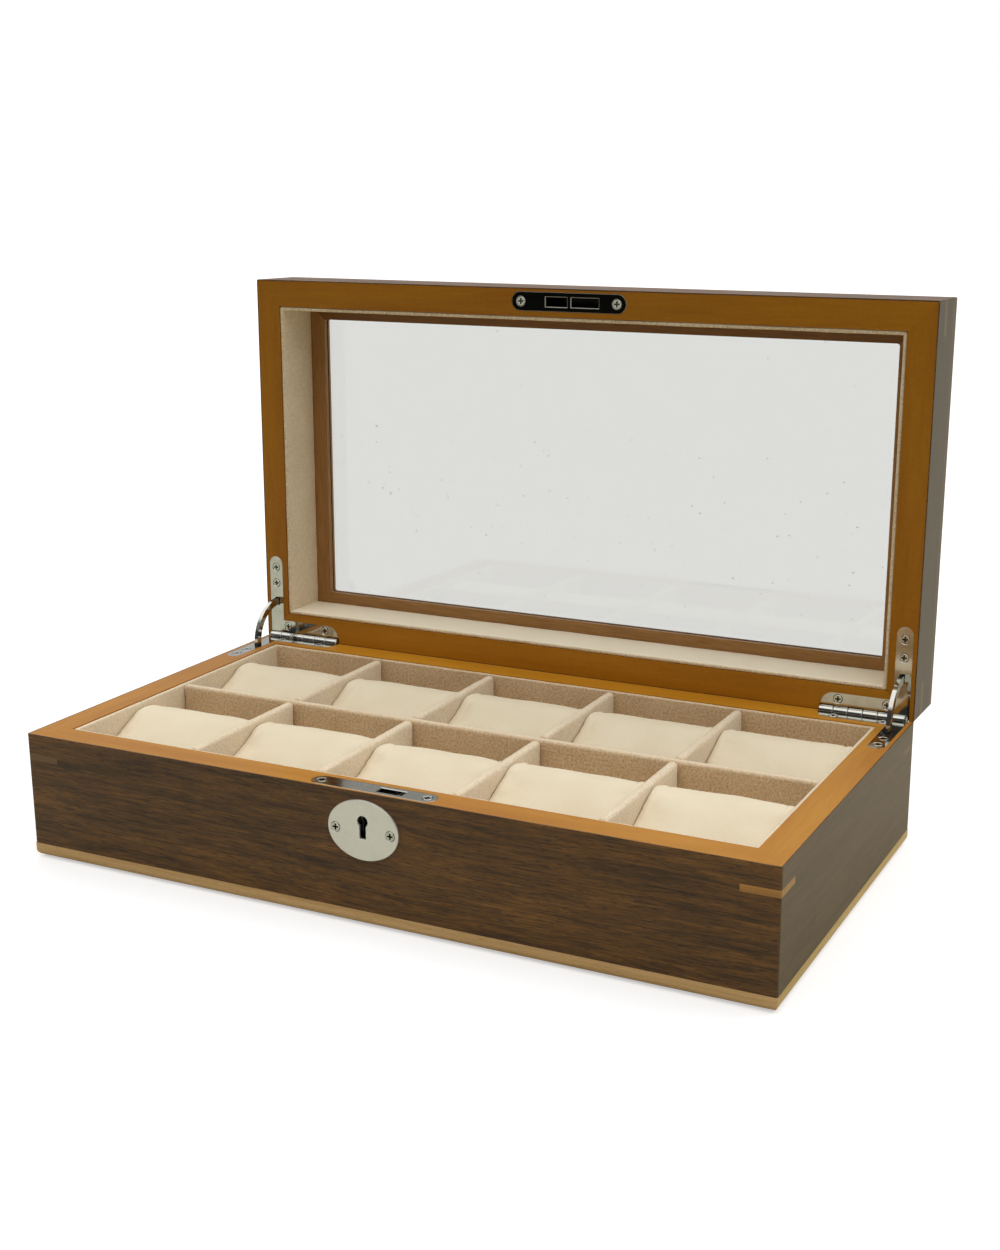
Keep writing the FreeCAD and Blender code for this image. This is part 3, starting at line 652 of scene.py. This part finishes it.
def add_board(bm, low, high, round_edge):
    """A board between two corners, with every edge rounded, and fine enough to wave."""
    size = [b - a for a, b in zip(low, high)]
    middle = [(a + b) / 2 for a, b in zip(low, high)]
    made = bmesh.ops.create_cube(
        bm, size=1.0, matrix=Matrix.Translation(middle) @ Matrix.Diagonal((*size, 1.0))
    )
    edges = list({e for v in made["verts"] for e in v.link_edges})
    rounding = min(round_edge, FULL_ROUND * min(size))
    bevelled = bmesh.ops.bevel(
        bm, geom=edges, offset=rounding, offset_type="OFFSET", segments=ROUND_STEPS, profile=0.5,
        affect="EDGES",
    )
    points = {v for f in bevelled["faces"] for v in f.verts}
    for axis in range(3):
        cuts = int(size[axis] / BOARD_CELL)
        for index in range(1, cuts):
            faces = {f for v in points for f in v.link_faces}
            edges = {e for f in faces for e in f.edges}
            spot = Vector(middle)
            spot[axis] = low[axis] + size[axis] * index / cuts
            normal = [1.0 if i == axis else 0.0 for i in range(3)]
            cut = bmesh.ops.bisect_plane(
                bm, geom=[*points, *edges, *faces], plane_co=spot, plane_no=normal
            )
            points |= {g for g in cut["geom_cut"] if isinstance(g, bmesh.types.BMVert)}


def wave(bm, amount):
    """Moves each point a little along its normal, so that cloth over board isn't dead flat."""
    bm.normal_update()
    for vertex in bm.verts:
        vertex.co += vertex.normal * amount * noise.noise(vertex.co / NAP_WAVE_LENGTH)


def make_linings(cloth):
    """The cloth-covered boards on the case's four walls and on its floor."""
    for side in SIDES:
        node = f"case_lining_{side}"
        bm = bmesh.new()
        add_board(bm, *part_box(node), LINING_ROUND)
        wave(bm, NAP_WAVE)
        piece(f"velvet_{node}", bm, cloth, "velvet_lining", "case", node)
    bm = bmesh.new()
    add_board(bm, *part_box("floor_lining"), FLOOR_LINING_ROUND)
    wave(bm, NAP_WAVE)
    piece("velvet_floor_lining", bm, cloth, "velvet_lining", "case", "floor_lining")


def make_dividers(cloth):
    """The long divider, and the cross dividers, each in two halves with the long one between."""
    low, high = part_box("long_divider")
    bm = bmesh.new()
    gap = Vector((JOIN_GAP, 0, 0))
    add_board(bm, low + gap, high - gap, DIVIDER_ROUND)
    wave(bm, NAP_WAVE)
    piece("velvet_long_divider", bm, cloth, "velvet_lining", "case", "long_divider")
    front_face, back_face = low.y - JOIN_GAP, high.y + JOIN_GAP
    for index in range(1, 5):
        node = f"cross_divider_{index}"
        low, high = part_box(node)
        bm = bmesh.new()
        add_board(bm, (low.x, low.y + JOIN_GAP, low.z), (high.x, front_face, high.z), DIVIDER_ROUND)
        add_board(bm, (low.x, back_face, low.z), (high.x, high.y - JOIN_GAP, high.z), DIVIDER_ROUND)
        wave(bm, NAP_WAVE)
        piece(f"velvet_{node}", bm, cloth, "velvet_lining", "case", node)


def make_felt(cloth):
    bm = bmesh.new()
    add_board(bm, *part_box("base_felt"), FELT_ROUND)
    piece("underside_felt", bm, cloth, "felt", "case", "base_felt")


def lid_turn():
    """The turn that opens the closed lid to where it is at rest."""
    hinge = next(j for j in frame["joints"] if j["name"] == "lid_hinge")
    pivot = Matrix.Translation(hinge["pos_m"])
    swing = Matrix.Rotation(math.radians(-hinge["range_deg"][0]), 4, Vector(hinge["axis"]))
    return pivot @ swing @ pivot.inverted()


def make_lid_lining(cloth):
    """Four boards round the inside of the lid, built closed and then opened."""
    turn = lid_turn()
    shut = [turn.inverted() @ v.co for v in NODES["lid_lining"].data.vertices]
    low = Vector([min(p[i] for p in shut) for i in range(3)])
    high = Vector([max(p[i] for p in shut) for i in range(3)])
    bm = bmesh.new()
    for axis in (0, 1):
        for outer, inward in ((low, LID_LINING), (high, -LID_LINING)):
            a, b = low.copy(), high.copy()
            a[axis], b[axis] = sorted((outer[axis], outer[axis] + inward))
            add_board(bm, a, b, LINING_ROUND)
    wave(bm, NAP_WAVE)
    bm.transform(turn)
    piece("velvet_lid_lining", bm, cloth, "velvet_lining", "lid", "lid_lining")


def swell(made):
    """Blows the pad up with cloth pressure, and keeps each point's move within a limit."""
    mesh = made.data
    start = [v.co.copy() for v in mesh.vertices]
    cloth = made.modifiers.new("swell", "CLOTH")
    cloth.settings.use_pressure = True
    cloth.settings.uniform_pressure_force = CUSHION_PRESSURE
    cloth.settings.effector_weights.gravity = 0.0
    cloth.point_cache.frame_start = 1
    cloth.point_cache.frame_end = CUSHION_FRAMES
    for step in range(1, CUSHION_FRAMES + 1):
        bpy.context.scene.frame_set(step)
    swollen = made.evaluated_get(bpy.context.evaluated_depsgraph_get())
    moves = [v.co - a for v, a in zip(swollen.data.vertices, start)]
    made.modifiers.clear()
    bpy.context.scene.frame_set(1)
    for vertex, a, move in zip(mesh.vertices, start, moves):
        if move.length > CUSHION_SWELL:
            move *= CUSHION_SWELL / move.length
        vertex.co = a + move


def refine(made, levels):
    """Replaces the mesh by its smoothly subdivided one."""
    smooth = made.modifiers.new("fine", "SUBSURF")
    smooth.levels = levels
    fine = made.evaluated_get(bpy.context.evaluated_depsgraph_get())
    made.data = bpy.data.meshes.new_from_object(fine)
    made.modifiers.clear()


def bell(distance, width):
    return math.exp(-((distance / width) ** 2))


def dress(mesh, low, high, seed):
    """The sewn welt near each end with the crease beside it, soft dents, and the flat underside.
    Everything stays in the space that the CAD pad holds."""
    middle = (low + high) / 2
    normals = [v.normal.copy() for v in mesh.vertices]
    for vertex, normal in zip(mesh.vertices, normals):
        spot = vertex.co
        inset = (high.x - low.x) / 2 - abs(spot.x - middle.x)
        side = 1 - abs(normal.x)
        welt = WELT_RISE * bell(inset - WELT_IN, WELT_WIDTH)
        crease = CREASE_DEPTH * bell(inset - CREASE_IN, WELT_WIDTH)
        dent = DENT * noise.noise(spot / DENT_LENGTH + Vector((seed, 0, 0)))
        spot += normal * ((welt - crease) * side + dent)
        for axis in range(3):
            least, most = low[axis] + CUSHION_CLEAR, high[axis] - CUSHION_CLEAR
            spot[axis] = min(max(spot[axis], least if axis < 2 else low.z), most)


def make_cushion(row, column, cloth):
    """One padded watch cushion: remeshed, swollen by cloth pressure, flat where it lies."""
    node = f"cushion_{row}_{column}"
    low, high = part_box(node)
    foot = (low + high) / 2
    foot.z = low.z
    mesh = NODES[node].data.copy()
    mesh.materials.clear()
    size = high - low
    shrink = Matrix.Diagonal([1 - 2 * s / whole for s, whole in zip(CUSHION_SHRINK, size)] + [1.0])
    mesh.transform(Matrix.Translation(foot) @ shrink @ Matrix.Translation(-foot))
    made = add_object(f"padded_{node}", mesh)
    mesh.remesh_voxel_size = CUSHION_VOXEL
    with bpy.context.temp_override(object=made, active_object=made):
        bpy.ops.object.voxel_remesh()
    swell(made)
    refine(made, 1)
    dress(made.data, low, high, DENT_SEED[row] + DENT_SEED_STEP * column)
    made.data.materials.append(cloth)
    made.data.polygons.foreach_set("use_smooth", [True] * len(made.data.polygons))
    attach(made, node)
    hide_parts(node)


# ---- which finish goes where ----
def wood_finishes():
    """The wood of each node that is wood."""
    made = {}
    woods = {
        "case": (honey("honey_case_x", "x", HONEY_CASE), honey("honey_case_y", "y", HONEY_CASE)),
        # the lid's honey is a darker copy, a painted shade
        "lid": (honey("honey_lid_shaded_x", "x", HONEY_LID_SHADED), honey("honey_lid_shaded_z", "z", HONEY_LID_SHADED)),
    }
    rails = (walnut("walnut_rail_x", "x", lid_inside), walnut("walnut_rail_z", "z", lid_inside))
    for side in SIDES:
        turned = side not in LONG_SIDES
        for body, wood in woods.items():
            made[f"{body}_wall_{side}"] = wood[turned]
        made[f"lid_top_rail_{side}"] = rails[turned]
    # the back walls take lighter copies of the honey, painted light
    made["case_wall_back"] = honey("honey_case_back_lit", "x", HONEY_CASE_BACK_LIT)
    made["lid_wall_back"] = honey("honey_lid_back_lit", "x", HONEY_LID_BACK_LIT)
    # painted shade: the rail at the top of the open lid takes the darker stain
    made["lid_top_rail_front"] = walnut("walnut_rail_front_shaded", "x", lid_inside, RAIL_STAIN_SHADED)
    made["case_veneer"] = walnut("walnut_case", "xy")
    # the lid's ends take a darker painted shade than the case's
    made["lid_veneer"] = walnut("walnut_lid", "xz", end_shade=WALNUT_LID_END_SHADE)
    made["base_band"] = beech("beech_band", "xy", BEECH_LIGHT_DARK_DASH)
    made["bottom_board"] = beech("birch_ply", "x", BIRCH_LIGHT_DARK_DASH)
    keys = beech("key_wood", "x", KEY_LIGHT_DARK_DASH, stained_keys)
    made["case_corner_keys"] = made["lid_corner_keys"] = keys
    return made


def metal_finishes(lid_out):
    """The nodes with a metal of their own: the lock's face plate, and the screws, whose slots
    are found from the way that their heads look."""
    up, forward = Vector((0, 0, 1)), Vector((0, -1, 0))
    heads = {
        "hinge_case_screws": up,
        "hinge_lid_screws": lid_out,
        "lock_screws": up,
        "strike_screws": lid_out,
        "escutcheon_screws": forward,
    }
    # the screws' slots take a painted shade
    made = {
        node: metal(node, CHROME, 0.08, marked=slots(node, outward))
        for node, outward in heads.items()
    }
    made["lock_face_plate"] = metal("polished_nickel", POLISHED_NICKEL, 0.07, 0.002 * MM)
    return made


def paint_nodes():
    """Gives each CAD node the finish made for it, or the one for its material slot."""
    lid_out = lid_turn().to_3x3() @ Vector((0, 0, -1))
    by_node = wood_finishes() | metal_finishes(lid_out)
    # a painted highlight on the strike plate's bevels
    bevel_highlight = bevels("strike_plate", lid_out)
    by_slot = {
        "chrome": metal("polished_chrome", CHROME, 0.05),
        "satin_steel": metal("satin_nickel", SATIN_NICKEL, 0.42, 0.004 * MM, metallic=0.8),
        "black_nickel": metal(
            "black_nickel", BLACK_NICKEL, 0.08, marked=bevel_highlight, mark=BLACK_NICKEL_BEVEL_HIGHLIGHT
        ),
        "lock_steel": metal("lock_steel", LOCK_STEEL, 0.28, 0.004 * MM),
        "glass": glass(),
    }
    for name, node in NODES.items():
        for slot in node.material_slots:
            if name in by_node:
                slot.material = by_node[name]
            elif slot.material.name in by_slot:
                slot.material = by_slot[slot.material.name]


make_camera()
make_floor()
make_light()
bpy.context.scene.view_settings.view_transform = "Standard"
case_velvet = napped(
    "case_velvet", CASE_VELVET, 1.1 * MM, contrast=0.85, sheen=0.35, depth=0.35 * MM,
    brushed=0.8, shade=CASE_NAP_SHADE,
)
lid_velvet = napped(
    "lid_velvet", LID_VELVET, 1.1 * MM, contrast=0.8, sheen=0.35, depth=0.3 * MM,
    brushed=0.1, shade=LID_NAP_SHADE, top_light=0.8,
)
velour = napped("velour_cloth", VELOUR, 1.4 * MM, contrast=0.35, sheen=0.30, depth=0.08 * MM)
felt = napped("felt_cloth", FELT, 1.3 * MM, contrast=0.8, sheen=0.2, depth=0.3 * MM)
paint_nodes()
make_linings(case_velvet)
make_dividers(case_velvet)
make_felt(felt)
make_lid_lining(lid_velvet)
for row in ROWS:
    for column in COLUMNS:
        make_cushion(row, column, velour)
